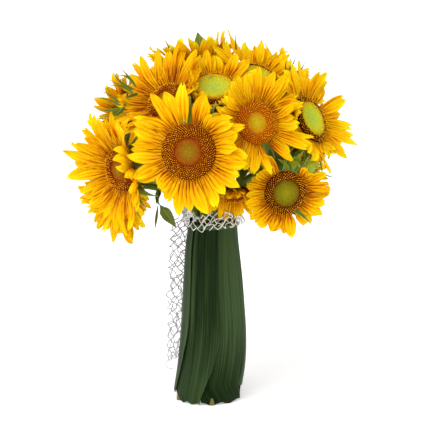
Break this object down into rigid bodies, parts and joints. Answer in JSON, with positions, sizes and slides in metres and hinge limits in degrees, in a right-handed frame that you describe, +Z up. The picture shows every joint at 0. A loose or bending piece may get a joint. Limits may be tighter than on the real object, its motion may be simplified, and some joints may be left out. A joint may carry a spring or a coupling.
{
  "type": "bunch of sunflowers",
  "caption": "Round hand-tied bunch of sunflowers on cut stems that are wrapped in broad strap leaves, with a net of plant fibre round the neck; stands on its stem ends.",
  "frame": {"origin": "centre of the middle stem's cut end, on the surface that the bunch stands on", "axes": "+Z up along the stems, -Y to the front, towards the camera of the picture, +X to the right seen from the front"},
  "size_m": [0.3637, 0.2678, 0.4652],
  "materials": {
    "petal": "thin matte yellow ray petals, orange at their bases",
    "dark_disc": "rough disc of brown florets with golden specks",
    "green_disc": "rough disc of tight lime-green florets",
    "stem": "matte green stem, bracts and veined leaves",
    "strap_leaf": "satin dark-green leaf with fine lengthwise veins",
    "binding": "matte dark-green binding tape",
    "net": "bleached, matte, fibrous plant net"
  },
  "bodies": {
    "root": {"front_disc": "dark_disc", "front_petals": "petal", "front_stem": "stem", "centre_disc": "dark_disc", "centre_petals": "petal", "centre_stem": "stem", "low_right_disc": "dark_disc", "low_right_petals": "petal", "low_right_stem": "stem", "left_disc": "dark_disc", "left_petals": "petal", "left_stem": "stem", "right_disc": "green_disc", "right_petals": "petal", "right_stem": "stem", "upper_left_disc": "dark_disc", "upper_left_petals": "petal", "upper_left_stem": "stem", "top_front_disc": "green_disc", "top_front_petals": "petal", "top_front_stem": "stem", "top_right_disc": "green_disc", "top_right_petals": "petal", "top_right_stem": "stem", "low_left_disc": "green_disc", "low_left_petals": "petal", "low_left_stem": "stem", "low_front_disc": "dark_disc", "low_front_petals": "petal", "low_front_stem": "stem", "top_left_disc": "green_disc", "top_left_petals": "petal", "top_left_stem": "stem", "far_left_disc": "dark_disc", "far_left_petals": "petal", "far_left_stem": "stem", "high_right_disc": "green_disc", "high_right_petals": "petal", "high_right_stem": "stem", "back_disc": "dark_disc", "back_petals": "petal", "back_stem": "stem", "back_left_disc": "dark_disc", "back_left_petals": "petal", "back_left_stem": "stem", "back_right_disc": "dark_disc", "back_right_petals": "petal", "back_right_stem": "stem", "bud_stem": "stem", "wrap_front_left": "strap_leaf", "wrap_front_right": "strap_leaf", "wrap_right": "strap_leaf", "wrap_back_right": "strap_leaf", "wrap_back_left": "strap_leaf", "wrap_left": "strap_leaf", "binding": "binding", "net": "net"}
  },
  "joints": []
}
